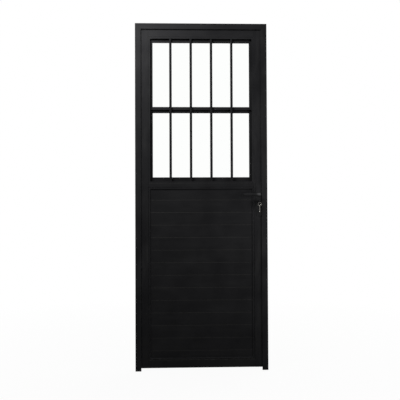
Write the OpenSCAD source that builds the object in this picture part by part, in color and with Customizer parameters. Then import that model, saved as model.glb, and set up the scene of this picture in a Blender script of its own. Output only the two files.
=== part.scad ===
// Aluminium front door with its frame: a slatted leaf that opens inwards, with a barred
// window of two vertical sashes above the lock rail. Millimetres, +Z up. The outside faces -Y.
// The origin is on the floor, midway between the jambs, on the middle plane of the leaf.

/* [Frame] */
// Width of the frame over its jambs
frame_w = 800; // [740:10:1000]
// Height of the frame from the floor to its top
frame_h = 2100; // [2040:10:2300]
// Width of the frame's visible outside face
frame_face = 35; // [33:1:45]
// Width of the stop that laps in front of the leaf
stop_w = 13; // [12:0.5:15]
// Thickness of the stop
stop_t = 8; // [7:0.5:16]
// Wall of the frame profile
frame_wall = 1.6; // [1.2:0.1:2]
// Chamfer along the edges of the frame and leaf profiles
profile_chamfer = 0.8; // [0.3:0.1:1]
// Space between stop and leaf, for the seal
seal_gap = 2; // [1.6:0.1:3]
// Diameter of the fixing holes through the jambs
anchor_d = 8; // [6:0.5:10]
// Height of the lower pair of fixing holes
anchor_low_z = 150; // [100:10:300]
// Distance between the two holes of a pair
anchor_pitch = 550; // [400:10:600]

/* [Leaf] */
// Thickness of the leaf
leaf_t = 42.5; // [42:0.5:48]
// Gap between the leaf's edges and the frame
leaf_gap = 4.5; // [4:0.25:6]
// Height of the leaf's lower edge above the floor
floor_gap = 16.5; // [8:0.5:30]
// Width of the stiles
stile_w = 53.5; // [50:0.5:60]
// Height of the top rail
top_rail_h = 53.5; // [40:0.5:80]
// Height of the lock rail
lock_rail_h = 25; // [22:0.5:40]
// Height of the lock rail's lower edge above the floor
lock_rail_z = 1105; // [1080:5:1160]
// Height of the bottom rail
bottom_rail_h = 48.5; // [40:0.5:120]
// Wall of the leaf profiles
leaf_wall = 1.6; // [1.2:0.1:2]

/* [Slat panel] */
// Width sawn off the lowest slat
slat_trim = 20.3; // [0:0.1:30]
// Thickness of a slat
slat_t = 13; // [12:0.5:14]
// Wall of a slat
slat_wall = 1.2; // [1:0.1:1.6]
// Height of the chamfer along a slat's upper front edge
slat_chamfer = 3; // [1:0.25:5]
// Depth of that chamfer
slat_fall = 1.2; // [0.4:0.1:1.6]
// Height of a slat's tongue
tongue_h = 5; // [3:0.5:8]
// Width of the beads round the panel
bead_w = 10; // [8:0.5:12]
// Width of the shadow gap between the beads and the profiles round them
bead_reveal = 1.5; // [0.5:0.25:2.5]
// Chamfer along the beads
bead_chamfer = 1.5; // [0.5:0.25:2]

/* [Window] */
// Width of the lip in front of the sashes
track_lip = 10.7; // [8:0.1:12]
// Wall of the track profile
track_wall = 1.5; // [1.2:0.1:1.8]
// Thickness of a sash
sash_t = 9.6; // [9.2:0.1:9.8]
// Width of a sash stile
sash_stile_w = 22; // [20:0.1:30]
// Height of the upper sash
upper_sash_h = 440; // [400:2:480]
// Height of the upper sash's top rail
upper_top_h = 28.5; // [26:0.5:45]
// Height of the upper sash's meeting rail
meeting_h = 17.5; // [15:0.5:25]
// Height of the lower sash's top rail
lower_top_h = 34.5; // [30:0.5:45]
// Height of the lower sash's bottom rail
lower_bottom_h = 34; // [32:0.5:50]
// Wall of the sash profiles
sash_wall = 1.3; // [1.1:0.1:1.5]
// Depth of the glazing channel
glaze_depth = 8; // [6:0.5:9]
// Thickness of the glass
glass_t = 4; // [3:0.5:4.5]
// Travel of the lower sash
sash_travel = 372; // [300:6:378]
// Diameter of a grille bar
bar_d = 15; // [8:0.1:15.4]
// Depth of a bar's end in its rail
bar_seat = 6; // [4:0.5:8]

/* [Hinges] */
// Height of a hinge
hinge_h = 100; // [80:2:140]
// Distance of the outer hinges from the floor and from the top
hinge_inset = 250; // [200:10:350]
// Diameter of the knuckle
knuckle_d = 13; // [12:0.5:14]
// Diameter of the hinge pin
pin_d = 6; // [5:0.5:8]
// Thickness of a hinge plate
hinge_plate_t = 2.5; // [2:0.25:3]
// Width of the hinge plate on the leaf
hinge_plate_w = 34; // [28:1:40]

/* [Lock] */
// Distance from the leaf's edge to the lever
backset = 25.5; // [24:0.5:28]
// Height of the lever above the floor
lever_z = 1059; // [1040:1:1090]
// Distance from the lever down to the key
key_drop = 46; // [46:1:60]
// Width of the lever plates
plate_w = 32; // [28:1:32]
// Height of the lever plates
plate_h = 204; // [200:1:240]
// Thickness of the lever plates
plate_t = 3; // [2:0.5:5]
// Height of the plates above the lever
plate_rise = 74; // [66:1:90]
// Length of the lever from its axis
lever_len = 98; // [80:1:120]
// Distance from the plate to the middle of the grip
lever_reach = 32; // [28:1:40]
// Diameter of the lever's neck
neck_d = 16; // [14:0.5:18]
// Side of the square spindle
spindle_s = 8; // [7:0.5:9]
// Height of a bolt
bolt_h = 16; // [12:0.5:18]
// Thickness of a bolt
bolt_t = 12; // [9:0.5:13]
// Reach of the latch bolt past the leaf's edge
latch_throw = 10; // [8:0.5:11]
// Travel of the dead bolt
bolt_throw = 18; // [12:0.5:20]
// Diameter of the cylinder's plug
plug_d = 13; // [12:0.5:13.5]
// Thickness of the key
key_t = 2.2; // [1.8:0.1:2.6]

/* [Hidden] */
$fn = 48;

// Colours
black_coat = "#2b2b2c";
black_rubber = "#151515";
black_nylon = "#1d1d1e";
bright_steel = "#b9bcbf";
clear_glass = "#dfe8ea";

// Clearances
fit_gap = 0.3;
run_gap = 0.05;
over = 1;
long = 4000;

// Frame section, measured from the frame's outer faces inwards
tube_w = frame_face - stop_w;
leaf_front = -leaf_t / 2;
leaf_back = leaf_t / 2;
stop_back = leaf_front - seal_gap;
frame_front = stop_back - stop_t;
frame_depth = leaf_back - frame_front;
seal_slot_w = 4;
seal_slot_d = 3;
seal_mid = tube_w + stop_w / 2;
web_x = frame_w / 2 - tube_w;
anchor_y = (frame_front + leaf_back) / 2;
anchor_high_z = frame_h - anchor_low_z - anchor_pitch;
anchor_heights = [anchor_low_z, anchor_low_z + anchor_pitch, anchor_high_z, anchor_high_z + anchor_pitch];
cleat_arm = 70;
cleat_land = 13;

// Leaf outline
leaf_x = web_x - leaf_gap;
leaf_top = frame_h - tube_w - leaf_gap;
stile_x = leaf_x - stile_w;
top_rail_z = leaf_top - top_rail_h;
lock_rail_top = lock_rail_z + lock_rail_h;
bottom_rail_top = floor_gap + bottom_rail_h;
port_d = 8;
access_gap = 1;
port_bore = 4.5;
port_front_y = 3;
port_back_y = 14;
port_ys = [port_front_y, port_back_y];
rail_mid_zs = [top_rail_z + top_rail_h / 2, lock_rail_z + lock_rail_h / 2, floor_gap + bottom_rail_h / 2];

// Slat panel: the slats lie between the front beads and the legs of the leaf's profiles
slat_count = 14;
panel_h = lock_rail_z - bottom_rail_top;
slat_pitch = (panel_h + slat_trim) / slat_count;
slat_back = 0;
slat_front = slat_back - slat_t;
leg_w = 10;
end_gap = 0.5;
bead_recess = 1.2;
bead_front = leaf_front + bead_recess;
bead_wall = 1.4;
reveal_d = 2.5;
slat_arris = 0.3;
tongue_t = 4;

// Window: two tracks behind the grille, the upper sash in the outer one
win_x = stile_x - fit_gap;
win_z0 = lock_rail_top + fit_gap;
win_z1 = top_rail_z - fit_gap;
track_sunk = 0.6;
track_front = leaf_front + track_sunk;
track_back = leaf_back - track_sunk;
lip_t = 1.2;
lip_step = 1;
lip_reach = track_lip - lip_step;
sash_gap = 0.35;
sash_end_gap = 0.4;
sash_side_gap = 0.6;
lower_y = track_back - lip_t - sash_gap - sash_t;
mid_lip_y = lower_y - sash_gap - lip_t;
upper_y = mid_lip_y - sash_gap - sash_t;
fore_lip_y = upper_y - sash_gap - lip_t;
bar_y = (track_front + track_wall + fore_lip_y) / 2;
bar_count = 4;
bar_pitch = 2 * (stile_x - leg_w) / (bar_count + 1);
sash_x = win_x - track_wall - sash_side_gap;
sash_in_x = sash_x - sash_stile_w;
upper_z1 = win_z1 - track_wall - sash_end_gap;
upper_z0 = upper_z1 - upper_sash_h;
lower_z0 = win_z0 + track_wall + sash_end_gap;
lower_z1 = upper_z0 + meeting_h;
lower_back = lower_y + sash_t;
edge_gap = 1;
brush_t = 1.4;

// Sash catches: sliders on the lower sash, with keepers on the leaf's back
catch_rise = 18;
catch_z = lower_z0 + catch_rise;
catch_h = 8;
catch_t = 3.6;
catch_travel = 10;
catch_off = 0.7;
catch_y = leaf_back + catch_off;
guide_in = 38;
guide_x = sash_in_x - guide_in;
guide_l = 44;
guide_wall = 2.2;
keeper_in = 2;
keeper_x = stile_x + keeper_in;
keeper_l = 12;
tongue_clear = 2;
tongue_tip = keeper_x + catch_travel - tongue_clear;
tail_in = 4;
catch_tail = guide_x + tail_in;
tab_in = 14;

// Hinges
hinge_x = -(web_x + leaf_x) / 2;
hinge_y = leaf_back + knuckle_d / 2;
knuckle_gap = 0.5;
knuckle_l = (hinge_h - 2 * knuckle_gap) / 3;
hinge_zs = [hinge_inset, frame_h / 2, frame_h - hinge_inset];
frame_plate_w = tube_w - 1;
knuckle_room = 0.4;
plate_clear = knuckle_d / 2 + knuckle_room;
hinge_screw_in = 14;
hinge_screw_zs = [-1, 0, 1] * (hinge_h / 2 - hinge_screw_in);
leaf_screw_in = 13;
screw_d = 4;
screw_head_d = 7.6;
screw_head_h = 1.8;
screw_l = 12;

// Lock
lock_x = leaf_x - backset;
key_z = lever_z - key_drop;
plate_z0 = lever_z + plate_rise - plate_h;
plate_screw_in = 12;
plate_screw_zs = [plate_z0 + plate_screw_in, plate_z0 + plate_h - plate_screw_in];
plate_screw_d = 5;
case_wall = 1.2;
case_room = 2;
case_t = bolt_t + 2 * case_room;
case_x0 = stile_x + leaf_wall + 2 * case_room;
forend_t = 1.8;
forend_w = 22;
forend_x = leaf_x - forend_t;
latch_rise = 24;
latch_z = lever_z + latch_rise;
bolt_rise = 21;
dead_z = key_z + bolt_rise;
case_foot = 55;
case_z0 = key_z - case_foot;
case_head = 5;
case_z1 = latch_z + bolt_h / 2 + case_head;
forend_tab = 20;
forend_z0 = case_z0 - forend_tab;
forend_z1 = case_z1 + forend_tab;
latch_hold = 21;
latch_l = latch_throw + latch_hold;
bolt_hold = 15;
dead_l = bolt_throw + bolt_hold;
strike_t = 1.5;
strike_room = 1.5;
jamb_room = strike_room + 0.5;
strike_screw_in = 8;
collar_d = neck_d;
collar_in = 0.6;
follower_d = 16;
follower_lip = 1.5;
follower_arm = 13;
follower_arm_w = 6;
spindle_in = 19;
spindle_end_gap = 1.5;
plate_skin = 0.6;
cyl_d = 17;
cyl_leg_w = 10;
cyl_leg_h = 24.5;
cyl_proud = 3;
cyl_half = leaf_t / 2 + plate_t + cyl_proud;
cam_w = 9.6;
cam_r = 11.5;
cam_arm_w = 5;
cam_room = 1;
keyway_h = 9;
key_play = 0.2;
key_in = 21;
bow_d = 24;
bow_hole = 7;

// A straight profile from z = 0 to len, mitred at 45 degrees at its top and, if asked, at its foot.
// Its section is the child, with x measured from the outer edge inwards.
module mitred_bar(len, wide, foot = true) {
    intersection() {
        linear_extrude(len) children();
        rotate([90, 0, 0])
            linear_extrude(long, center = true)
                polygon([[0, 0], [wide, foot ? wide : 0], [wide, len - wide], [0, len]]);
    }
}

// The two upright sides of a ring that is wide across and runs from z0 to z1
module ring_left(half_w, z0, z1, wide, foot = true) {
    translate([-half_w, 0, z0]) mitred_bar(z1 - z0, wide, foot) children();
}

module ring_right(half_w, z0, z1, wide, foot = true) {
    mirror([1, 0, 0]) ring_left(half_w, z0, z1, wide, foot) children();
}

// The level sides of the same ring
module ring_top(half_w, z1, wide) {
    translate([-half_w, 0, z1]) rotate([0, 90, 0]) mitred_bar(2 * half_w, wide) children();
}

module ring_bottom(half_w, z0, wide) {
    translate([-half_w, 0, z0]) mirror([0, 0, 1]) rotate([0, 90, 0]) mitred_bar(2 * half_w, wide) children();
}

// A box between two corners
module span(a, b) {
    translate(a) cube(b - a);
}

// A bore or pin along X or along Y
module rod_x(d, x0, x1, y, z) {
    translate([x0, y, z]) rotate([0, 90, 0]) cylinder(h = x1 - x0, d = d);
}

module rod_y(d, y0, y1, x, z) {
    translate([x, y0, z]) rotate([-90, 0, 0]) cylinder(h = y1 - y0, d = d);
}

module both_sides() {
    children();
    mirror([1, 0, 0]) children();
}

// A countersunk screw along -Z, its head flush with z = 0, and the hole that takes it
module screw(len, d = screw_d, spare = 0) {
    translate([0, 0, -screw_head_h])
        cylinder(h = screw_head_h + spare, d1 = d + 2 * spare, d2 = screw_head_d + 2 * spare);
    translate([0, 0, -len]) cylinder(h = len - screw_head_h + spare, d = d + 2 * spare);
}

// Section of the frame: a tube with a stop that holds the seal
module frame_section() {
    c = profile_chamfer;
    difference() {
        polygon([[0, frame_front + c], [c, frame_front], [frame_face - c, frame_front],
            [frame_face, frame_front + c], [frame_face, stop_back - c], [frame_face - c, stop_back],
            [tube_w, stop_back], [tube_w, leaf_back - c], [tube_w - c, leaf_back], [c, leaf_back],
            [0, leaf_back - c]]);
        translate([frame_wall, frame_front + frame_wall])
            square([tube_w - 2 * frame_wall, frame_depth - 2 * frame_wall]);
        translate([tube_w, frame_front + frame_wall])
            square([stop_w - frame_wall, stop_t - 2 * frame_wall - seal_slot_d]);
        translate([seal_mid - seal_slot_w / 2, stop_back - seal_slot_d])
            square([seal_slot_w, seal_slot_d + over]);
    }
}

module anchor_holes() {
    for (z = anchor_heights)
        rod_x(anchor_d, -frame_w / 2 - over, -web_x + over, anchor_y, z);
}

// Places where the hinge screws go, on the frame and on the leaf
module at_frame_hinge_screws() {
    for (z = hinge_zs, dz = hinge_screw_zs)
        translate([-web_x - tube_w / 2, leaf_back + hinge_plate_t, z + dz]) rotate([-90, 0, 0]) children();
}

module at_door_hinge_screws() {
    for (z = hinge_zs, dz = hinge_screw_zs)
        translate([hinge_x + hinge_plate_w - leaf_screw_in, leaf_back + hinge_plate_t, z + dz])
            rotate([-90, 0, 0]) children();
}

// Places of the strike's screws, heads towards the leaf
module at_strike_screws() {
    for (z = [forend_z0 + strike_screw_in, forend_z1 - strike_screw_in])
        translate([web_x - strike_t, 0, z]) rotate([0, -90, 0]) children();
}

// The two openings that the bolts pass through, from x0 to x1
module bolt_ways(x0, x1, spare) {
    for (z = [latch_z, dead_z])
        span([x0, -bolt_t / 2 - spare, z - bolt_h / 2 - spare],
            [x1, bolt_t / 2 + spare, z + bolt_h / 2 + spare]);
}

module hinge_jamb() {
    color(black_coat) difference() {
        ring_left(frame_w / 2, 0, frame_h, frame_face, false) frame_section();
        anchor_holes();
        at_frame_hinge_screws() screw(screw_l, spare = fit_gap);
    }
}

module lock_jamb() {
    color(black_coat) difference() {
        ring_right(frame_w / 2, 0, frame_h, frame_face, false) frame_section();
        mirror([1, 0, 0]) anchor_holes();
        bolt_ways(web_x - over, web_x + frame_wall + over, jamb_room);
        at_strike_screws() screw(screw_l, spare = fit_gap);
    }
}

module frame_head() {
    color(black_coat) ring_top(frame_w / 2, frame_h, frame_face) frame_section();
}

// Angle cleats inside the mitred corners, each arm lightened by a slot
module corner_cleats() {
    gap = frame_wall + fit_gap;
    arm = tube_w - 2 * gap;
    left = -frame_w / 2 + gap;
    top = frame_h - gap;
    front = frame_front + gap;
    back = leaf_back - gap;
    color(bright_steel) both_sides() difference() {
        union() {
            span([left, front, top - cleat_arm], [left + arm, back, top]);
            span([left, front, top - arm], [left + cleat_arm, back, top]);
        }
        span([left - over, front + cleat_land, top - cleat_arm + arm],
            [left + arm + over, back - cleat_land, top - 2 * arm]);
        span([left + 2 * arm, front + cleat_land, top - arm - over],
            [left + cleat_arm - arm, back - cleat_land, top + over]);
    }
}

// A soft strip in the stop's slot, just clear of the closed leaf
module frame_seal() {
    play = 0.2;
    foot = seal_slot_w / 2 - play;
    lip = foot + 1;
    module strip(half, y0, y1) {
        edge = web_x - stop_w / 2 + half;
        mid = frame_h - seal_mid;
        both_sides() span([edge - 2 * half, y0, floor_gap], [edge, y1, mid]);
        span([-edge, y0, mid - half], [edge, y1, mid + half]);
    }
    color(black_rubber) union() {
        strip(foot, stop_back - seal_slot_d + play, stop_back);
        strip(lip, stop_back, leaf_front - fit_gap);
    }
}

module strike_plate() {
    color(bright_steel) difference() {
        span([web_x - strike_t, -forend_w / 2, forend_z0], [web_x, forend_w / 2, forend_z1]);
        bolt_ways(web_x - strike_t - over, web_x + over, strike_room);
        at_strike_screws() screw(screw_l, spare = run_gap);
    }
}

module frame_screws() {
    color(bright_steel) {
        at_frame_hinge_screws() screw(screw_l);
        at_strike_screws() screw(screw_l);
    }
}

// One knuckle of a hinge with the strap that joins it to its plate, which lies towards side
module knuckle(z, len, side) {
    translate([hinge_x, hinge_y, z]) cylinder(h = len, d = knuckle_d);
    span([min(hinge_x, hinge_x + side * plate_clear), leaf_back, z],
        [max(hinge_x, hinge_x + side * plate_clear), leaf_back + hinge_plate_t, z + len]);
}

module frame_hinge_plates() {
    color(black_coat) for (z = hinge_zs) difference() {
        union() {
            span([-web_x - frame_plate_w, leaf_back, z - hinge_h / 2],
                [hinge_x - plate_clear, leaf_back + hinge_plate_t, z + hinge_h / 2]);
            knuckle(z - hinge_h / 2, knuckle_l, -1);
            knuckle(z + hinge_h / 2 - knuckle_l, knuckle_l, -1);
        }
        translate([hinge_x, hinge_y, z - hinge_h]) cylinder(h = 2 * hinge_h, d = pin_d + 2 * run_gap);
        at_frame_hinge_screws() screw(screw_l, spare = run_gap);
    }
}

module hinge_pins() {
    head_h = 2;
    color(bright_steel) for (z = hinge_zs) translate([hinge_x, hinge_y, z]) {
        translate([0, 0, -hinge_h / 2]) cylinder(h = hinge_h, d = pin_d);
        translate([0, 0, hinge_h / 2]) cylinder(h = head_h, d1 = knuckle_d - 2, d2 = knuckle_d - 4);
    }
}

module door_hinge_plates() {
    color(black_coat) for (z = hinge_zs) difference() {
        union() {
            span([hinge_x + plate_clear, leaf_back, z - hinge_h / 2],
                [hinge_x + hinge_plate_w, leaf_back + hinge_plate_t, z + hinge_h / 2]);
            knuckle(z - knuckle_l / 2, knuckle_l, 1);
        }
        translate([hinge_x, hinge_y, z - hinge_h]) cylinder(h = 2 * hinge_h, d = pin_d + 2 * run_gap);
        at_door_hinge_screws() screw(screw_l, spare = run_gap);
    }
}

// Hollow box section of a leaf profile, with chamfered edges
module box_section(w, t, wall) {
    c = profile_chamfer;
    difference() {
        polygon([[0, c], [c, 0], [w - c, 0], [w, c], [w, t - c], [w - c, t], [c, t], [0, t - c]]);
        translate([wall, wall]) square([w - 2 * wall, t - 2 * wall]);
    }
}

// Screws that tie the rails to the stiles, from inside each stile
module at_rail_screws() {
    for (z = rail_mid_zs, y = port_ys)
        translate([-stile_x - leaf_wall, y, z]) rotate([0, -90, 0]) children();
}

// A stile as on the hinge side, with the leg that backs the slats
module stile() {
    difference() {
        union() {
            translate([-leaf_x, leaf_front, floor_gap])
                linear_extrude(leaf_top - floor_gap) box_section(stile_w, leaf_t, leaf_wall);
            span([-stile_x, slat_back, floor_gap], [-stile_x + leg_w, slat_back + leaf_wall, lock_rail_top]);
        }
        for (z = rail_mid_zs, y = port_ys) {
            rod_x(port_bore, -stile_x - leaf_wall - over, -stile_x + over, y, z);
            rod_x(port_d + 2 * access_gap, -leaf_x - over, -leaf_x + leaf_wall + over, y, z);
        }
        for (z = [rail_mid_zs[1], rail_mid_zs[2]])
            leg_notch(z);
    }
}

// The leg is notched where a rail meets the stile
module leg_notch(z) {
    low = z > rail_mid_zs[2] ? lock_rail_z - fit_gap : floor_gap - over;
    high = z > rail_mid_zs[2] ? lock_rail_top + over : bottom_rail_top + fit_gap;
    span([-stile_x, slat_back - over, low], [-stile_x + leg_w + over, slat_back + leaf_wall + over, high]);
}

module hinge_stile() {
    color(black_coat) difference() {
        stile();
        at_door_hinge_screws() screw(screw_l, spare = fit_gap);
    }
}

// Outline of a profile cylinder, grown by spare, about its plug
module cylinder_outline(spare) {
    circle(d = cyl_d + 2 * spare);
    translate([-cyl_leg_w / 2 - spare, -cyl_leg_h - spare]) square([cyl_leg_w + 2 * spare, cyl_leg_h]);
}

// The way through the leaf for the cylinder, between y0 and y1
module cylinder_way(y0, y1, spare) {
    translate([lock_x, y1, key_z]) rotate([90, 0, 0]) linear_extrude(y1 - y0) cylinder_outline(spare);
}

module lock_stile() {
    neck_room = 3;
    color(black_coat) difference() {
        mirror([1, 0, 0]) stile();
        span([forend_x - fit_gap, -forend_w / 2 - fit_gap, forend_z0 - fit_gap],
            [leaf_x + over, forend_w / 2 + fit_gap, forend_z1 + fit_gap]);
        rod_y(collar_d + 2 * neck_room, leaf_front - over, leaf_back + over, lock_x, lever_z);
        cylinder_way(leaf_front - over, leaf_back + over, fit_gap);
        for (z = plate_screw_zs)
            rod_y(plate_screw_d + 2 * fit_gap, leaf_front - over, leaf_back + over, lock_x, z);
    }
}

// A rail between the stiles, from z0 up, with the two ports that its end screws bite into
module rail(z0, h) {
    ring = (port_d - port_bore) / 2;
    translate([-stile_x, 0, z0]) rotate([90, 0, 90]) linear_extrude(2 * stile_x) {
        translate([leaf_front, 0]) box_section(leaf_t, h, leaf_wall);
        for (y = port_ys) difference() {
            union() {
                translate([y, h / 2]) circle(d = port_d);
                translate([y - ring / 2, leaf_wall / 2]) square([ring, h / 2 - leaf_wall / 2]);
            }
            translate([y, h / 2]) circle(d = port_bore);
        }
    }
}

// Holes for the ends of the grille bars, between z0 and z1
module bar_holes(z0, z1) {
    for (i = [0 : bar_count - 1])
        translate([(i - (bar_count - 1) / 2) * bar_pitch, bar_y, z0])
            cylinder(h = z1 - z0, d = bar_d + 2 * run_gap);
}

module top_rail() {
    color(black_coat) difference() {
        rail(top_rail_z, top_rail_h);
        bar_holes(top_rail_z - over, top_rail_z + leaf_wall + over);
    }
}

module lock_rail() {
    color(black_coat) difference() {
        union() {
            rail(lock_rail_z, lock_rail_h);
            span([-stile_x, slat_back, lock_rail_z - leg_w], [stile_x, slat_back + leaf_wall, lock_rail_z]);
        }
        bar_holes(lock_rail_top - leaf_wall - over, lock_rail_top + over);
        both_sides() leg_corner(lock_rail_z - leg_w - over, lock_rail_z - fit_gap);
    }
}

module bottom_rail() {
    color(black_coat) difference() {
        union() {
            rail(floor_gap, bottom_rail_h);
            span([-stile_x, slat_back, bottom_rail_top],
                [stile_x, slat_back + leaf_wall, bottom_rail_top + leg_w]);
        }
        both_sides() leg_corner(bottom_rail_top + fit_gap, bottom_rail_top + leg_w + over);
    }
}

// The corner of a rail's leg that the stile's leg takes up
module leg_corner(z0, z1) {
    span([-stile_x - over, slat_back - over, z0],
        [-stile_x + leg_w + fit_gap, slat_back + leaf_wall + over, z1]);
}

// One hollow slat, counted from the top. Its tongue stands in the groove of the slat above.
module slat(i) {
    first = i == 1;
    last = i == slat_count;
    top = lock_rail_z - (i - 1) * slat_pitch - (first ? fit_gap : 0);
    low = last ? bottom_rail_top + fit_gap : lock_rail_z - i * slat_pitch + fit_gap / 2;
    h = top - low;
    groove_t = tongue_t + 2 * fit_gap;
    groove_h = tongue_h + fit_gap;
    floor_h = last ? slat_wall : groove_h + slat_wall;
    room = (h - floor_h - 2 * slat_wall) / 2;
    half = stile_x - end_gap;
    color(black_coat) translate([-half, slat_front, low]) rotate([90, 0, 90]) linear_extrude(2 * half)
        difference() {
            union() {
                polygon([[slat_arris, 0], [slat_t, 0], [slat_t, h], [slat_fall, h], [0, h - slat_chamfer],
                    [0, slat_arris]]);
                if (!first)
                    translate([(slat_t - tongue_t) / 2, h - over]) square([tongue_t, tongue_h + over]);
            }
            if (!last) translate([(slat_t - groove_t) / 2, -over]) square([groove_t, groove_h + over]);
            for (z = [floor_h, floor_h + room + slat_wall])
                translate([slat_wall + slat_fall / 2, z]) square([slat_t - 2 * slat_wall - slat_fall / 2, room]);
        }
}

// Section of a bead: a channel open towards the slats, its foot against the profile behind the shadow gap
module bead_section() {
    depth = slat_front - bead_front - fit_gap;
    c = bead_chamfer;
    r = bead_reveal;
    translate([0, bead_front]) difference() {
        polygon([[r, c], [r + c, 0], [bead_w - c, 0], [bead_w, c], [bead_w, depth],
            [fit_gap, depth], [fit_gap, reveal_d], [r, reveal_d]]);
        translate([r + bead_wall, bead_wall + c / 2]) square([bead_w - r - 2 * bead_wall, depth]);
    }
}

module panel_beads() {
    low = bottom_rail_top;
    high = lock_rail_z;
    color(black_coat) {
        ring_left(stile_x, low, high, bead_w) bead_section();
        ring_right(stile_x, low, high, bead_w) bead_section();
        ring_top(stile_x, high, bead_w) bead_section();
        ring_bottom(stile_x, low, bead_w) bead_section();
    }
}

// Section of the window's track: a front lip and two channels for the sashes
module track_section() {
    translate([0, track_front]) square([track_wall, track_back - track_front]);
    translate([0, track_front]) square([track_lip, track_wall]);
    for (y = [fore_lip_y, mid_lip_y, track_back - lip_t])
        translate([0, y]) square([lip_reach, lip_t]);
}

// The upright tracks, each with a stop under the upper sash
module window_tracks() {
    block_h = 8;
    top = upper_z0 - fit_gap;
    color(black_coat) both_sides() {
        ring_left(win_x, win_z0, win_z1, track_lip) track_section();
        span([-win_x, upper_y, top - block_h], [-win_x + lip_reach, upper_y + sash_t, top]);
    }
}

module window_head() {
    color(black_coat) difference() {
        ring_top(win_x, win_z1, track_lip) track_section();
        bar_holes(win_z1 - track_wall - over, win_z1 + over);
    }
}

module window_sill() {
    color(black_coat) difference() {
        ring_bottom(win_x, win_z0, track_lip) track_section();
        bar_holes(win_z0 - over, win_z0 + track_wall + over);
    }
}

module grille_bars() {
    color(black_coat) for (i = [0 : bar_count - 1])
        translate([(i - (bar_count - 1) / 2) * bar_pitch, bar_y, lock_rail_top - bar_seat])
            cylinder(h = top_rail_z - lock_rail_top + 2 * bar_seat, d = bar_d);
}

// Section of a sash member: a box with a glazing channel on its inner side
module sash_section(w) {
    difference() {
        square([w, sash_t]);
        translate([sash_wall, sash_wall])
            square([w - glaze_depth - 2 * sash_wall, sash_t - 2 * sash_wall]);
        translate([w - glaze_depth, sash_wall]) square([glaze_depth + over, sash_t - 2 * sash_wall]);
    }
}

module sash_stiles(y, z0, z1) {
    color(black_coat) both_sides()
        translate([-sash_x, y, z0]) linear_extrude(z1 - z0) sash_section(sash_stile_w);
}

// A rail that hangs from z1, and one that stands on z0
module sash_top(y, z1, h) {
    half = sash_in_x - 2 * run_gap;
    translate([-half, y, z1]) rotate([0, 90, 0]) linear_extrude(2 * half) sash_section(h);
}

module sash_bottom(y, z0, h) {
    mirror([0, 0, 1]) sash_top(y, -z0, h);
}

module sash_rails(y, z0, z1, low_h, high_h) {
    color(black_coat) {
        sash_top(y, z1, high_h);
        sash_bottom(y, z0, low_h);
    }
}

// A pane that fills the channels of its sash, less edge_gap
module pane(y, z0, z1, low_h, high_h) {
    half = sash_in_x + glaze_depth - edge_gap;
    mid = y + sash_t / 2;
    span([-half, mid - glass_t / 2, z0 + low_h - glaze_depth + edge_gap],
        [half, mid + glass_t / 2, z1 - high_h + glaze_depth - edge_gap]);
}

// The gasket that wraps the edges of that pane
module glazing_gasket(y, z0, z1, low_h, high_h) {
    wrap = 0.6;
    sight = 0.6;
    half = sash_in_x + glaze_depth - edge_gap + wrap;
    low = z0 + low_h;
    high = z1 - high_h;
    reach = glaze_depth - edge_gap + wrap;
    difference() {
        span([-half, y + sash_wall + run_gap, low - reach],
            [half, y + sash_t - sash_wall - run_gap, high + reach]);
        span([-sash_in_x + sight, y, low + sight], [sash_in_x - sight, y + sash_t, high - sight]);
        pane(y, z0, z1, low_h, high_h);
    }
}

module upper_sash_stiles() {
    sash_stiles(upper_y, upper_z0, upper_z1);
}

module upper_sash_rails() {
    sash_rails(upper_y, upper_z0, upper_z1, meeting_h, upper_top_h);
}

module upper_glass() {
    color(clear_glass) pane(upper_y, upper_z0, upper_z1, meeting_h, upper_top_h);
}

module upper_gasket() {
    color(black_rubber) glazing_gasket(upper_y, upper_z0, upper_z1, meeting_h, upper_top_h);
}

module lower_sash_stiles() {
    sash_stiles(lower_y, lower_z0, lower_z1);
}

module lower_sash_rails() {
    sash_rails(lower_y, lower_z0, lower_z1, lower_bottom_h, lower_top_h);
}

module lower_glass() {
    color(clear_glass) pane(lower_y, lower_z0, lower_z1, lower_bottom_h, lower_top_h);
}

// The lower pane's gasket, and the brush that closes the gap between the meeting rails
module lower_seals() {
    brush_h = meeting_h / 2;
    brush_top = lower_z1 - meeting_h / 4;
    half = sash_in_x - track_lip;
    color(black_rubber) {
        glazing_gasket(lower_y, lower_z0, lower_z1, lower_bottom_h, lower_top_h);
        span([-half, lower_y - brush_t, brush_top - brush_h], [half, lower_y, brush_top]);
    }
}

// Finger pull on the lower sash's bottom rail
module sash_lift() {
    half = 45;
    base_t = 2;
    base_h = 14;
    reach = 11;
    drop = 1;
    z1 = lower_z0 + lower_bottom_h - glaze_depth - drop;
    color(black_coat) {
        span([-half, lower_back, z1 - base_h], [half, lower_back + base_t, z1]);
        span([-half, lower_back, z1 - base_t], [half, lower_back + base_t + reach, z1]);
        span([-half, lower_back + reach, z1 - 2 * base_t], [half, lower_back + base_t + reach, z1]);
    }
}

// Housing of the right catch: a box that the slider runs through, open behind for its tab
module catch_guide() {
    y1 = catch_y + catch_t + fit_gap + guide_wall;
    z0 = catch_z - catch_h / 2 - fit_gap;
    z1 = catch_z + catch_h / 2 + fit_gap;
    difference() {
        span([guide_x, lower_back, z0 - guide_wall], [guide_x + guide_l, y1, z1 + guide_wall]);
        span([guide_x - over, catch_y - fit_gap, z0],
            [guide_x + guide_l + over, catch_y + catch_t + fit_gap, z1]);
        span([guide_x + guide_wall, catch_y, z0], [guide_x + guide_l - guide_wall, y1 + over, z1]);
    }
}

module catch_guides() {
    color(black_nylon) both_sides() catch_guide();
}

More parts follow.
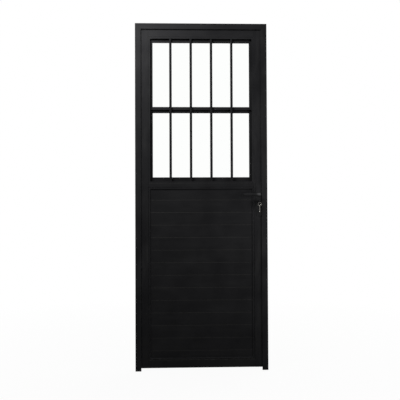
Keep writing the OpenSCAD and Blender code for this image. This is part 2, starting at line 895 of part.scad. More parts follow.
// The right slider at rest, its tongue in the keeper
module sash_catch() {
    tab_x = guide_x + guide_l - guide_wall - tab_in;
    tab_l = 10;
    tab_rise = 8;
    z0 = catch_z - catch_h / 2;
    z1 = catch_z + catch_h / 2;
    span([catch_tail, catch_y, z0], [tongue_tip, catch_y + catch_t, z1]);
    span([tab_x, catch_y, z0], [tab_x + tab_l, catch_y + catch_t + tab_rise, z1]);
}

module sash_catch_right() {
    color(black_nylon) sash_catch();
}

module sash_catch_left() {
    color(black_nylon) mirror([1, 0, 0]) sash_catch();
}

// Staples on the back of the leaf that hold the sash shut, half open and open
module catch_keepers() {
    wall = 3;
    room = 0.6;
    z0 = catch_z - catch_h / 2 - room;
    z1 = catch_z + catch_h / 2 + room;
    y1 = catch_y + catch_t + room;
    color(bright_steel) both_sides() for (lift = [0, 0.5, 1] * sash_travel) translate([0, 0, lift])
        difference() {
            span([keeper_x, leaf_back, z0 - wall], [keeper_x + keeper_l, y1 + wall, z1 + wall]);
            span([keeper_x - over, leaf_back - over, z0], [keeper_x + keeper_l + over, y1, z1]);
        }
}

// Screws of the leaf: rail ties, hinge plates and lever plates
module leaf_screws() {
    tie_l = 24;
    color(bright_steel) {
        both_sides() at_rail_screws() mirror([0, 0, 1]) pan_screw(tie_l);
        at_door_hinge_screws() screw(screw_l);
        for (z = plate_screw_zs) translate([lock_x, leaf_back + plate_t, z]) rotate([-90, 0, 0])
            screw(leaf_t + 2 * plate_t - plate_skin - fit_gap, plate_screw_d);
    }
}

// A screw along +Z with a round head below z = 0
module pan_screw(len) {
    head_h = 2;
    shank_d = port_bore - 2 * fit_gap;
    translate([0, 0, -head_h]) cylinder(h = head_h, d = port_d);
    cylinder(h = len, d = shank_d);
}

// The mortise lock's case, with its forend in the edge of the leaf
module lock_case() {
    color(bright_steel) difference() {
        union() {
            span([case_x0, -case_t / 2, case_z0], [forend_x, case_t / 2, case_z1]);
            span([forend_x, -forend_w / 2, forend_z0], [leaf_x, forend_w / 2, forend_z1]);
        }
        span([case_x0 + case_wall, -case_t / 2 + case_wall, case_z0 + case_wall],
            [forend_x - case_wall, case_t / 2 - case_wall, case_z1 - case_wall]);
        bolt_ways(forend_x - case_wall - over, leaf_x + over, fit_gap);
        rod_y(follower_d - 2 * follower_lip, -case_t, case_t, lock_x, lever_z);
        cylinder_way(-case_t, case_t, fit_gap);
    }
}

// A bolt with its stem, from x0 to x1 at height z
module bolt(x0, x1, z) {
    span([x0, -bolt_t / 2, z - bolt_h / 2], [x1, bolt_t / 2, z + bolt_h / 2]);
}

// The latch is bevelled on its outside face, so that it slips past the strike as the leaf closes
module latch_bolt() {
    nose = 2;
    tip = leaf_x + latch_throw;
    bevel = latch_throw - 1;
    color(bright_steel) difference() {
        bolt(tip - latch_l, tip, latch_z);
        translate([tip, bolt_t / 2, latch_z - bolt_h])
            linear_extrude(2 * bolt_h)
                polygon([[over, over], [over, nose - bolt_t], [0, nose - bolt_t], [-bevel, 0], [-bevel, over]]);
    }
}

module dead_bolt() {
    tip = leaf_x - fit_gap;
    color(bright_steel) bolt(tip - dead_l, tip, dead_z);
}

// Turns with the spindle and draws the latch
module lock_follower() {
    inner_t = case_t - 2 * case_wall - 2 * fit_gap;
    color(bright_steel) translate([lock_x, 0, lever_z]) difference() {
        union() {
            rotate([90, 0, 0]) cylinder(h = inner_t, d = follower_d, center = true);
            span([-follower_arm_w / 2, -inner_t / 4, 0], [follower_arm_w / 2, inner_t / 4, follower_arm]);
        }
        cube([spindle_s, long, spindle_s], center = true);
    }
}

module spindle() {
    s = spindle_s - fit_gap;
    half = leaf_t / 2 + plate_t + spindle_in;
    color(bright_steel)
        span([lock_x - s / 2, -half, lever_z - s / 2], [lock_x + s / 2, half, lever_z + s / 2]);
}

// The lever on the outside: a collar in the plate, a neck, and a grip that tapers to a flat end
module lever() {
    face = leaf_front - plate_t;
    grip_y = face - lever_reach;
    boss_lip = 3;
    boss_d = neck_d + 2 * boss_lip;
    boss_h = 6;
    end_r = 5.5;
    end_rise = 3;
    end_lean = 1;
    difference() {
        union() {
            rod_y(collar_d, face - boss_h, leaf_front + collar_in, lock_x, lever_z);
            rod_y(boss_d, face - fit_gap - boss_h, face - fit_gap, lock_x, lever_z);
            rod_y(neck_d, grip_y, face - boss_h, lock_x, lever_z);
            translate([lock_x, grip_y, lever_z]) hull() {
                sphere(d = neck_d, $fn = 32);
                for (z = [-end_rise, end_rise])
                    translate([-lever_len + end_r, end_lean, z]) sphere(r = end_r, $fn = 32);
            }
        }
        span([lock_x - spindle_s / 2, face - spindle_in - spindle_end_gap, lever_z - spindle_s / 2],
            [lock_x + spindle_s / 2, 0, lever_z + spindle_s / 2]);
    }
}

module outer_lever() {
    color(black_coat) lever();
}

module inner_lever() {
    color(black_coat) mirror([0, 1, 0]) lever();
}

// A long plate with round ends on the outside of the stile, bored for the lever and the cylinder
module lever_plate() {
    r = 6;
    color(black_coat) difference() {
        translate([lock_x - plate_w / 2, leaf_front, plate_z0]) rotate([90, 0, 0]) linear_extrude(plate_t)
            translate([r, r]) plate_outline(plate_w - 2 * r, plate_h - 2 * r, r);
        rod_y(collar_d + 2 * run_gap, leaf_front - plate_t - over, leaf_front + over, lock_x, lever_z);
        cylinder_way(leaf_front - plate_t - over, leaf_front + over, fit_gap);
    }
}

// A rectangle with corners of radius r outside w by h
module plate_outline(w, h, r) {
    translate([-r, 0]) square([w + 2 * r, h]);
    translate([0, -r]) square([w, h + 2 * r]);
    for (x = [0, w], y = [0, h]) translate([x, y]) circle(r);
}

module outer_plate() {
    color(black_coat) difference() {
        lever_plate();
        for (z = plate_screw_zs)
            rod_y(plate_screw_d + 2 * fit_gap, plate_skin - plate_t + leaf_front, leaf_front + over, lock_x, z);
    }
}

module inner_plate() {
    color(black_coat) difference() {
        mirror([0, 1, 0]) lever_plate();
        for (z = plate_screw_zs) translate([lock_x, leaf_back + plate_t, z]) rotate([-90, 0, 0])
            screw(leaf_t, plate_screw_d, run_gap);
    }
}

// Profile cylinder through the leaf, slotted at its middle for the cam
module cylinder_body() {
    color(bright_steel) difference() {
        cylinder_way(-cyl_half, cyl_half, 0);
        rod_y(plug_d + 2 * run_gap, -cyl_half - over, cyl_half + over, lock_x, key_z);
        rod_y(2 * (cam_r + cam_room), -cam_w / 2 - fit_gap, cam_w / 2 + fit_gap, lock_x, key_z);
    }
}

// The plug with its cam and keyway
module cylinder_plug() {
    color(bright_steel) difference() {
        union() {
            rod_y(plug_d, -cyl_half, cyl_half, lock_x, key_z);
            rod_y(cyl_d - 1, -cam_w / 2, cam_w / 2, lock_x, key_z);
            span([lock_x - cam_arm_w / 2, -cam_w / 2, key_z - cam_r],
                [lock_x + cam_arm_w / 2, cam_w / 2, key_z]);
        }
        span([lock_x - key_t / 2 - key_play, -cyl_half - over, key_z - keyway_h / 2],
            [lock_x + key_t / 2 + key_play, -cyl_half + key_in + fit_gap, key_z + keyway_h / 2]);
    }
}

// A flat key in the outer keyway, with its bow on edge
module key() {
    blade_h = keyway_h - 2 * fit_gap;
    shank = 2;
    cut_d = 3;
    cut_pitch = 4.5;
    first_cut = 4;
    bow_y = -cyl_half - shank - bow_d / 2;
    color(bright_steel) difference() {
        union() {
            span([lock_x - key_t / 2, bow_y, key_z - blade_h / 2],
                [lock_x + key_t / 2, -cyl_half + key_in, key_z + blade_h / 2]);
            rod_x(bow_d, lock_x - key_t / 2, lock_x + key_t / 2, bow_y, key_z);
        }
        rod_x(bow_hole, lock_x - key_t, lock_x + key_t, bow_y - bow_d / 2 + bow_hole, key_z);
        for (i = [0 : 3])
            rod_x(cut_d, lock_x - key_t, lock_x + key_t, first_cut + cut_pitch * i - cyl_half,
                key_z + blade_h / 2);
    }
}

hinge_jamb();
lock_jamb();
frame_head();
corner_cleats();
frame_seal();
strike_plate();
frame_screws();
frame_hinge_plates();
hinge_pins();
hinge_stile();
lock_stile();
top_rail();
lock_rail();
bottom_rail();
slat(1);  // slat_01
slat(2);  // slat_02
slat(3);  // slat_03
slat(4);  // slat_04
slat(5);  // slat_05
slat(6);  // slat_06
slat(7);  // slat_07
slat(8);  // slat_08
slat(9);  // slat_09
slat(10);  // slat_10
slat(11);  // slat_11
slat(12);  // slat_12
slat(13);  // slat_13
slat(14);  // slat_14
panel_beads();
window_tracks();
window_head();
window_sill();
grille_bars();
upper_sash_stiles();
upper_sash_rails();
upper_glass();
upper_gasket();
door_hinge_plates();
leaf_screws();
lock_case();
outer_plate();
inner_plate();
cylinder_body();
catch_keepers();
latch_bolt();
dead_bolt();
outer_lever();
inner_lever();
spindle();
lock_follower();
key();
cylinder_plug();
lower_sash_stiles();
lower_sash_rails();
lower_glass();
lower_seals();
sash_lift();
catch_guides();
sash_catch_left();
sash_catch_right();
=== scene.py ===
"""Looks for a black aluminium front door in its frame: finishes, key ring, studio and camera."""

import math

import bmesh
import bpy
from mathutils import Matrix, Vector


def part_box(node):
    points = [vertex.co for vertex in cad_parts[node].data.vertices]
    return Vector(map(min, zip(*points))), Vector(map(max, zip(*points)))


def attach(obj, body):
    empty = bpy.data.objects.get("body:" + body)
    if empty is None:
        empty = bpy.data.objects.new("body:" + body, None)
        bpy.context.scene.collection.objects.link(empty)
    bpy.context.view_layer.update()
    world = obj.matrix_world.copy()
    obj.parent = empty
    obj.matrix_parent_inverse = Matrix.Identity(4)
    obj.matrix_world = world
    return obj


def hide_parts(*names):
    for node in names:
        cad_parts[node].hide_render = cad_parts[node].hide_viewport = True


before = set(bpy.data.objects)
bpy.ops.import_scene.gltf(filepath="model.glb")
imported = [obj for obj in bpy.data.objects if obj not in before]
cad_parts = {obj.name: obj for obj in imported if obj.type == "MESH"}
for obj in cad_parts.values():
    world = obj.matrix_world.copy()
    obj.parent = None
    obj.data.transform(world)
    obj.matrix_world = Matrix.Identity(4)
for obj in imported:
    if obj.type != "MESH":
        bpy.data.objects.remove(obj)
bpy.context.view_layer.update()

MM = 0.001
WHITE = (1, 1, 1, 1)

# Pieces of the door by finish
SLATS = [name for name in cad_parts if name.startswith("slat_")]
UPRIGHTS = ["hinge_jamb", "lock_jamb", "hinge_stile", "lock_stile", "window_tracks", "upper_sash_stiles",
            "lower_sash_stiles"]
LEVELS = ["frame_head", "top_rail", "lock_rail", "bottom_rail", "window_head", "window_sill",
          "upper_sash_rails", "lower_sash_rails", "sash_lift"]
FITTINGS = ["outer_plate", "inner_plate", "frame_hinge_plates", "door_hinge_plates"]
LEVERS = ["outer_lever", "inner_lever"]
STEELWORK = ["strike_plate", "hinge_pins", "lock_case", "catch_keepers", "latch_bolt", "dead_bolt", "spindle",
             "lock_follower"]
CYLINDER = ["cylinder_body", "cylinder_plug"]
RUBBERS = ["frame_seal", "upper_gasket", "lower_seals"]
PANES = ["upper_glass", "lower_glass"]
NYLON = ["catch_guides", "sash_catch_left", "sash_catch_right"]

# Sockets of a Mix node that is set to colours: its share, the two colours and the result
SHARE, FROM, TO, MIXED = 0, 6, 7, 2

# Most of a noise lies between these values
NOISE_RANGE = {"From Min": 0.35, "From Max": 0.65}

# Darkest and palest tone of a coat: the beads' tones are a shade lighter, painted light that lifts the shade
# along the panel's beads
PROFILE_TONES = ("#151516", "#1a1a1b")
LIGHTENED_BEAD_TONES = ("#181819", "#1e1e1f")
NICKEL_TONES = ("#8d8b86", "#a8a59f")

# Spacing of the die lines along X, Y and Z, in millimetres
UPRIGHT_LINES = (5, 5, 700)
LEVEL_LINES = (700, 5, 5)

# How far the painted highlight on the levers' roots reaches, how far it is at full strength, and how far its
# middle lies above the spindle
PAINTED_HIGHLIGHT_REACH = 20 * MM
PAINTED_HIGHLIGHT_CORE = PAINTED_HIGHLIGHT_REACH / 3
PAINTED_HIGHLIGHT_RISE = 3 * MM

# The camera stands almost straight in front of the door, at about half its height. Its place is in metres,
# its angles are in degrees, and its lens and sensor in millimetres
CAMERA_PLACE = (-0.128, -3.6, 0.9625)
CAMERA_TURN = 1.903
CAMERA_RISE = 1.033
CAMERA_ROLL = -0.226
CAMERA_LENS = 53.18
SENSOR = 36.0

# The floor: half its width, how far from the door its shadow fades, and how much of the shadow shows there
FLOOR_HALF = 20.0
SHADOW_REACH = 3.0
SHADOW_SHARE = 0.05

# Distances within which points are one, and are on one line, the decimals to which heights are compared, and
# the angle under which faces are one
WELD = 0.001 * MM
NEAR = 0.01 * MM
HEIGHT_DECIMALS = 6
FLAT = math.radians(1)

# The cross that is pressed into the screws' heads: half the length and half the width of its arms, how far
# its walls slope in, its depth, the corners and the area that a head has at least, how much further each
# screw was turned than the one before, and the angle from which an edge is sharp
CROSS_REACH = 2.3 * MM
CROSS_ARM = 0.6 * MM
CROSS_SLOPE = 0.35 * MM
CROSS_DEPTH = 1.1 * MM
HEAD_CORNERS = 8
HEAD_AREA = 35 * MM ** 2
SCREW_TURN = math.radians(37)
SCREW_CREASE = math.radians(25)

# The split ring on the key: radius of its wire and of its turns, steps in a turn, and how far right it hangs
RING_WIRE = 0.9 * MM
WIRE_SIDES = 12
RING_RADIUS = 10.2 * MM
RING_TURNS = 2
RING_STEPS = 96
RING_ASIDE = 3 * MM

# The key in the lock: its hole, that hole's distance from the end of the bow, and the bare part next to the
# cylinder
KEY_HOLE_RADIUS = 3.5 * MM
KEY_HOLE_IN = 7 * MM
DIP_GAP = 1.5 * MM

# The spare key on the ring: its round bow, its blade, where on the bow's radius that starts and how thick it
# is against the bow, the depths of its cuts, its broken edges, and the twist that sets it on edge to the
# camera
SPARE_BOW_RADIUS = 9 * MM
SPARE_BOW_STEPS = 40
SPARE_THICKNESS = 2.2 * MM
SPARE_BLADE_WIDTH = 7.5 * MM
SPARE_BLADE_LENGTH = 27 * MM
SPARE_BLADE_START = 0.9
SPARE_BLADE_SHARE = 0.9
SPARE_CUTS = (0.4 * MM, 1.5 * MM, 0.8 * MM, 1.9 * MM, 1.1 * MM, 0.5 * MM)
SPARE_BROKEN_EDGE = 0.25 * MM
SPARE_BROKEN_FROM = math.radians(40)
SPARE_CREASE = math.radians(35)
SPARE_TWIST = math.radians(-7.7)


def linear(hex_colour):
    """An sRGB hex colour as linear RGBA."""
    parts = [int(hex_colour[i:i + 2], 16) / 255 for i in (1, 3, 5)]
    return (*[p / 12.92 if p <= 0.04045 else ((p + 0.055) / 1.055) ** 2.4 for p in parts], 1.0)


def add_node(tree, kind, values=None, links=None, **settings):
    """Adds a node with its settings, the values of its free sockets and what feeds the others: a socket, or a
    node whose first output is meant."""
    made = tree.nodes.new(kind)
    for name, value in settings.items():
        setattr(made, name, value)
    for socket, value in (values or {}).items():
        made.inputs[socket].default_value = value
    for socket, source in (links or {}).items():
        tree.links.new(getattr(source, "outputs", [source])[0], made.inputs[socket])
    return made


def new_material(name):
    """An empty material, its tree and the Object coordinates that its patterns read."""
    material = bpy.data.materials.new(name)
    material.use_nodes = True
    tree = material.node_tree
    tree.nodes.clear()
    return material, tree, add_node(tree, "ShaderNodeTexCoord").outputs["Object"]


def per_metre(*spacing):
    """How often a pattern of that spacing in millimetres comes in a metre, along X, Y and Z."""
    return [1 / (s * MM) for s in spacing]


def powder_coat(name, tones, die_lines, smear_share, dust_and_highlight_share):
    """Satin black polyester powder coat on extruded aluminium. The baked powder leaves a fine orange peel
    that spreads highlights wide. Under it the die lines of the extrusion run along each profile. Cloths leave
    dull smears. Faces and edges that turn up are lightened, partly as dust and partly as a painted highlight
    of the light from above, which draws pale lines along the slats' chamfered seams."""
    cloud_size, speck_size, peel_depth = 140 * MM, 6 * MM, 0.04 * MM
    wipe_length, wipe_width = 170, 42
    # The real peel is about 0.4 mm, drawn at 1.6 mm so that it shows
    peel_size = 1.6 * MM
    material, tree, place = new_material(name)
    clouds = add_node(tree, "ShaderNodeTexNoise", {"Scale": 1 / cloud_size, "Detail": 4.0}, {"Vector": place})
    tone = add_node(tree, "ShaderNodeMapRange", NOISE_RANGE, {"Value": clouds})
    coat = add_node(tree, "ShaderNodeMix", {FROM: linear(tones[0]), TO: linear(tones[1])}, {SHARE: tone},
                    data_type="RGBA")
    wipes = [wipe_length if spacing == max(die_lines) else wipe_width for spacing in die_lines]
    wiped = add_node(tree, "ShaderNodeMapping", {"Scale": per_metre(*wipes)}, {"Vector": place})
    smears = add_node(tree, "ShaderNodeTexNoise", {"Scale": 1.0, "Detail": 5.0}, {"Vector": wiped})
    smear = add_node(tree, "ShaderNodeMapRange", {"From Min": 0.48, "From Max": 0.72, "To Max": smear_share},
                     {"Value": smears})
    handled = add_node(tree, "ShaderNodeMix", {TO: linear("#2b2b2b")},
                       {SHARE: smear, FROM: coat.outputs[MIXED]}, data_type="RGBA")
    # Faces that turn up are lightened: partly dust, partly a painted highlight of the light from above
    facing = add_node(tree, "ShaderNodeSeparateXYZ",
                      links={0: add_node(tree, "ShaderNodeNewGeometry").outputs["Normal"]})
    upward = add_node(tree, "ShaderNodeMapRange", {"From Min": 0.2, "From Max": 0.35, "To Max": dust_and_highlight_share},
                      {"Value": facing.outputs["Z"]})
    specks = add_node(tree, "ShaderNodeTexNoise", {"Scale": 1 / speck_size, "Detail": 4.0}, {"Vector": place})
    dust_and_highlight = add_node(tree, "ShaderNodeMath", links={0: upward, 1: specks}, operation="MULTIPLY")
    colour = add_node(tree, "ShaderNodeMix", {TO: linear("#4b4a46")},
                      {SHARE: dust_and_highlight, FROM: handled.outputs[MIXED]}, data_type="RGBA")
    drawn = add_node(tree, "ShaderNodeMapping", {"Scale": per_metre(*die_lines)}, {"Vector": place})
    lines = add_node(tree, "ShaderNodeTexNoise", {"Scale": 1.0, "Detail": 2.0}, {"Vector": drawn})
    lined = add_node(tree, "ShaderNodeMapRange", {**NOISE_RANGE, "To Min": 0.38, "To Max": 0.5},
                     {"Value": lines})
    rough = add_node(tree, "ShaderNodeMath", {1: 0.3}, {0: smear, 2: lined}, operation="MULTIPLY_ADD")
    peel = add_node(tree, "ShaderNodeTexNoise", {"Scale": 1 / peel_size, "Detail": 2.0}, {"Vector": place})
    bump = add_node(tree, "ShaderNodeBump", {"Strength": 1.0, "Distance": peel_depth}, {"Height": peel})
    shader = add_node(tree, "ShaderNodeBsdfPrincipled", {"Specular IOR Level": 0.018},
                      {"Base Color": colour.outputs[MIXED], "Roughness": rough, "Normal": bump})
    add_node(tree, "ShaderNodeOutputMaterial", links={0: shader})
    return material


def bar_paint():
    """Dead matt black paint on the grille bars, brushed on along them."""
    stroke_width, stroke_length, stroke_depth = 2, 90, 0.03 * MM
    material, tree, place = new_material("matt_black_bar_paint")
    brushed = add_node(tree, "ShaderNodeMapping",
                       {"Scale": per_metre(stroke_width, stroke_width, stroke_length)}, {"Vector": place})
    strokes = add_node(tree, "ShaderNodeTexNoise", {"Scale": 1.0, "Detail": 3.0}, {"Vector": brushed})
    colour = add_node(tree, "ShaderNodeMix", {FROM: linear("#121213"), TO: linear("#1b1b1c")},
                      {SHARE: strokes}, data_type="RGBA")
    rough = add_node(tree, "ShaderNodeMapRange", {"To Min": 0.5, "To Max": 0.8}, {"Value": strokes})
    bump = add_node(tree, "ShaderNodeBump", {"Strength": 1.0, "Distance": stroke_depth}, {"Height": strokes})
    shader = add_node(tree, "ShaderNodeBsdfPrincipled", {"Specular IOR Level": 0.004},
                      {"Base Color": colour.outputs[MIXED], "Roughness": rough, "Normal": bump})
    add_node(tree, "ShaderNodeOutputMaterial", links={0: shader})
    return material


def fitting_enamel(name, highlight_spot=None):
    """Black baked enamel on the cast fittings: smoother than the powder coat, with a tighter shine. On a
    lever a grey patch around its root is a painted highlight, where the curve of the root would catch the
    light."""
    cloud_size, wave_size, wave_depth = 30 * MM, 2.5 * MM, 0.015 * MM
    material, tree, place = new_material(name)
    clouds = add_node(tree, "ShaderNodeTexNoise", {"Scale": 1 / cloud_size, "Detail": 3.0}, {"Vector": place})
    tone = add_node(tree, "ShaderNodeMapRange", NOISE_RANGE, {"Value": clouds})
    enamel = add_node(tree, "ShaderNodeMix", {FROM: linear("#111112"), TO: linear("#161617")}, {SHARE: tone},
                      data_type="RGBA")
    colour = enamel.outputs[MIXED]
    # Painted highlight: the lever's root is lightened to grey, as if it caught the light
    if highlight_spot:
        away = add_node(tree, "ShaderNodeVectorMath", {1: highlight_spot}, {0: place}, operation="DISTANCE")
        near = add_node(tree, "ShaderNodeMapRange", {"From Min": PAINTED_HIGHLIGHT_REACH, "From Max": PAINTED_HIGHLIGHT_CORE},
                        {"Value": away.outputs["Value"]})
        highlighted = add_node(tree, "ShaderNodeMix", {TO: linear("#343435")}, {SHARE: near, FROM: colour},
                          data_type="RGBA")
        colour = highlighted.outputs[MIXED]
    rough = add_node(tree, "ShaderNodeMapRange", {"To Min": 0.2, "To Max": 0.4}, {"Value": clouds})
    waves = add_node(tree, "ShaderNodeTexNoise", {"Scale": 1 / wave_size}, {"Vector": place})
    bump = add_node(tree, "ShaderNodeBump", {"Strength": 1.0, "Distance": wave_depth}, {"Height": waves})
    shader = add_node(tree, "ShaderNodeBsdfPrincipled", {"Specular IOR Level": 0.08},
                      {"Base Color": colour, "Roughness": rough, "Normal": bump})
    add_node(tree, "ShaderNodeOutputMaterial", links={0: shader})
    return material


def painted_highlight_spot(lever):
    """Middle of the painted highlight on a lever: the outside of its root, in line with the spindle."""
    low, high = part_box(lever)
    axis = sum(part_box("spindle"), Vector()) / 2
    return Vector((axis.x, low.y if -low.y > high.y else high.y, axis.z + PAINTED_HIGHLIGHT_RISE))


def zinc_plate():
    """Bright zinc on pressed steel: pale grey, with faint blotches from the bath."""
    blotch_size = 9 * MM
    material, tree, place = new_material("zinc_plated_steel")
    blotches = add_node(tree, "ShaderNodeTexNoise", {"Scale": 1 / blotch_size, "Detail": 4.0},
                        {"Vector": place})
    tone = add_node(tree, "ShaderNodeMapRange", NOISE_RANGE, {"Value": blotches})
    colour = add_node(tree, "ShaderNodeMix", {FROM: linear("#a9abad"), TO: linear("#c3c5c6")}, {SHARE: tone},
                      data_type="RGBA")
    rough = add_node(tree, "ShaderNodeMapRange", {"To Min": 0.2, "To Max": 0.5}, {"Value": blotches})
    shader = add_node(tree, "ShaderNodeBsdfPrincipled", {"Metallic": 1.0},
                      {"Base Color": colour.outputs[MIXED], "Roughness": rough})
    add_node(tree, "ShaderNodeOutputMaterial", links={0: shader})
    return material


def nickel_plate():
    """Bright nickel on brass, as on keys and rings: warm silver with hairlines from polishing."""
    hairline_width, hairline_length = 0.5, 12
    material, tree, place = new_material("bright_nickel_plate")
    polished = add_node(tree, "ShaderNodeMapping",
                        {"Scale": per_metre(hairline_width, hairline_width, hairline_length)},
                        {"Vector": place})
    hairlines = add_node(tree, "ShaderNodeTexNoise", {"Scale": 1.0, "Detail": 2.0}, {"Vector": polished})
    colour = add_node(tree, "ShaderNodeMix", {FROM: linear(NICKEL_TONES[0]), TO: linear(NICKEL_TONES[1])},
                      {SHARE: hairlines}, data_type="RGBA")
    rough = add_node(tree, "ShaderNodeMapRange", {"To Min": 0.1, "To Max": 0.32}, {"Value": hairlines})
    shader = add_node(tree, "ShaderNodeBsdfPrincipled", {"Metallic": 1.0},
                      {"Base Color": colour.outputs[MIXED], "Roughness": rough})
    add_node(tree, "ShaderNodeOutputMaterial", links={0: shader})
    return material


def dipped_key():
    """The key in the lock: a bright nickel blade, and a bow that was dipped in black vinyl, soft and slightly
    shiny."""
    grain_size = 2 * MM
    dip_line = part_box("cylinder_body")[0].y - DIP_GAP
    material, tree, place = new_material("nickel_key_with_vinyl_bow")
    parts = add_node(tree, "ShaderNodeSeparateXYZ", links={0: place})
    dipped = add_node(tree, "ShaderNodeMath", {1: dip_line}, {0: parts.outputs["Y"]}, operation="LESS_THAN")
    bare = add_node(tree, "ShaderNodeMath", {0: 1.0}, {1: dipped}, operation="SUBTRACT")
    grain = add_node(tree, "ShaderNodeTexNoise", {"Scale": 1 / grain_size, "Detail": 3.0}, {"Vector": place})
    nickel_part = add_node(tree, "ShaderNodeMix",
                           {FROM: linear(NICKEL_TONES[0]), TO: linear(NICKEL_TONES[1])}, {SHARE: grain},
                           data_type="RGBA")
    vinyl_part = add_node(tree, "ShaderNodeMix", {FROM: linear("#0e0e0f"), TO: linear("#141415")},
                          {SHARE: grain}, data_type="RGBA")
    colour = add_node(tree, "ShaderNodeMix",
                      links={SHARE: dipped, FROM: nickel_part.outputs[MIXED], TO: vinyl_part.outputs[MIXED]},
                      data_type="RGBA")
    rough = add_node(tree, "ShaderNodeMapRange", {"To Min": 0.2, "To Max": 0.45}, {"Value": grain})
    shader = add_node(tree, "ShaderNodeBsdfPrincipled", {"Specular IOR Level": 0.15},
                      {"Base Color": colour.outputs[MIXED], "Metallic": bare, "Roughness": rough})
    add_node(tree, "ShaderNodeOutputMaterial", links={0: shader})
    return material


def black_plate():
    """Black plating on the brass lock cylinder: a dark metal shine with turning marks."""
    mark_size = 0.8 * MM
    material, tree, place = new_material("black_plated_brass")
    marks = add_node(tree, "ShaderNodeTexNoise", {"Scale": 1 / mark_size, "Detail": 2.0}, {"Vector": place})
    colour = add_node(tree, "ShaderNodeMix", {FROM: linear("#161617"), TO: linear("#242426")}, {SHARE: marks},
                      data_type="RGBA")
    rough = add_node(tree, "ShaderNodeMapRange", {"To Min": 0.22, "To Max": 0.44}, {"Value": marks})
    shader = add_node(tree, "ShaderNodeBsdfPrincipled", {"Metallic": 1.0},
                      {"Base Color": colour.outputs[MIXED], "Roughness": rough})
    add_node(tree, "ShaderNodeOutputMaterial", links={0: shader})
    return material


def mill_aluminium():
    """Cast aluminium as it leaves the mould, inside the frame's corners: pale and slightly grainy."""
    grain_size = 3 * MM
    material, tree, place = new_material("cast_aluminium")
    grain = add_node(tree, "ShaderNodeTexNoise", {"Scale": 1 / grain_size, "Detail": 4.0}, {"Vector": place})
    colour = add_node(tree, "ShaderNodeMix", {FROM: linear("#b4b5b6"), TO: linear("#cdcecf")}, {SHARE: grain},
                      data_type="RGBA")
    rough = add_node(tree, "ShaderNodeMapRange", {"To Min": 0.3, "To Max": 0.65}, {"Value": grain})
    shader = add_node(tree, "ShaderNodeBsdfPrincipled", {"Metallic": 1.0},
                      {"Base Color": colour.outputs[MIXED], "Roughness": rough})
    add_node(tree, "ShaderNodeOutputMaterial", links={0: shader})
    return material


def extruded_rubber():
    """Black sealing rubber: matt, with a dusty bloom."""
    bloom_size = 25 * MM
    material, tree, place = new_material("black_sealing_rubber")
    bloom = add_node(tree, "ShaderNodeTexNoise", {"Scale": 1 / bloom_size, "Detail": 4.0}, {"Vector": place})
    colour = add_node(tree, "ShaderNodeMix", {FROM: linear("#0f0f0f"), TO: linear("#1c1c1c")}, {SHARE: bloom},
                      data_type="RGBA")
    rough = add_node(tree, "ShaderNodeMapRange", {"To Min": 0.5, "To Max": 0.9}, {"Value": bloom})
    shader = add_node(tree, "ShaderNodeBsdfPrincipled", {"Specular IOR Level": 0.1},
                      {"Base Color": colour.outputs[MIXED], "Roughness": rough})
    add_node(tree, "ShaderNodeOutputMaterial", links={0: shader})
    return material


def moulded_nylon():
    """Black moulded nylon of the sash catches, with a fine spark-eroded grain."""
    grain_size, grain_depth = 0.8 * MM, 0.02 * MM
    material, tree, place = new_material("black_moulded_nylon")
    grain = add_node(tree, "ShaderNodeTexNoise", {"Scale": 1 / grain_size, "Detail": 2.0}, {"Vector": place})
    colour = add_node(tree, "ShaderNodeMix", {FROM: linear("#141415"), TO: linear("#212122")}, {SHARE: grain},
                      data_type="RGBA")
    rough = add_node(tree, "ShaderNodeMapRange", {"To Min": 0.3, "To Max": 0.65}, {"Value": grain})
    bump = add_node(tree, "ShaderNodeBump", {"Strength": 1.0, "Distance": grain_depth}, {"Height": grain})
    shader = add_node(tree, "ShaderNodeBsdfPrincipled", {"Specular IOR Level": 0.25},
                      {"Base Color": colour.outputs[MIXED], "Roughness": rough, "Normal": bump})
    add_node(tree, "ShaderNodeOutputMaterial", links={0: shader})
    return material


def float_glass():
    """Clear float glass, flat and polished, with the slightest unevenness from wiping."""
    wipe_size = 150 * MM
    material, tree, place = new_material("clear_float_glass")
    wipes = add_node(tree, "ShaderNodeTexNoise", {"Scale": 1 / wipe_size, "Detail": 3.0}, {"Vector": place})
    rough = add_node(tree, "ShaderNodeMapRange", {"From Min": 0.4, "From Max": 0.7, "To Max": 0.012},
                     {"Value": wipes})
    shader = add_node(tree, "ShaderNodeBsdfPrincipled",
                      {"Base Color": linear("#fdfefd"), "IOR": 1.52, "Transmission Weight": 1.0},
                      {"Roughness": rough})
    add_node(tree, "ShaderNodeOutputMaterial", links={0: shader})
    return material


def finish_nodes(names, material):
    """Gives a finish to the door's own pieces."""
    for name in names:
        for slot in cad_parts[name].material_slots:
            slot.material = material


def dressed(name, mesh, material, body):
    """Turns a finished bmesh into a piece that rides on a body."""
    data = bpy.data.meshes.new(name)
    bmesh.ops.recalc_face_normals(mesh, faces=mesh.faces)
    mesh.to_mesh(data)
    mesh.free()
    data.materials.append(material)
    data.shade_smooth()
    piece = bpy.data.objects.new(name, data)
    bpy.context.scene.collection.objects.link(piece)
    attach(piece, body)
    return piece


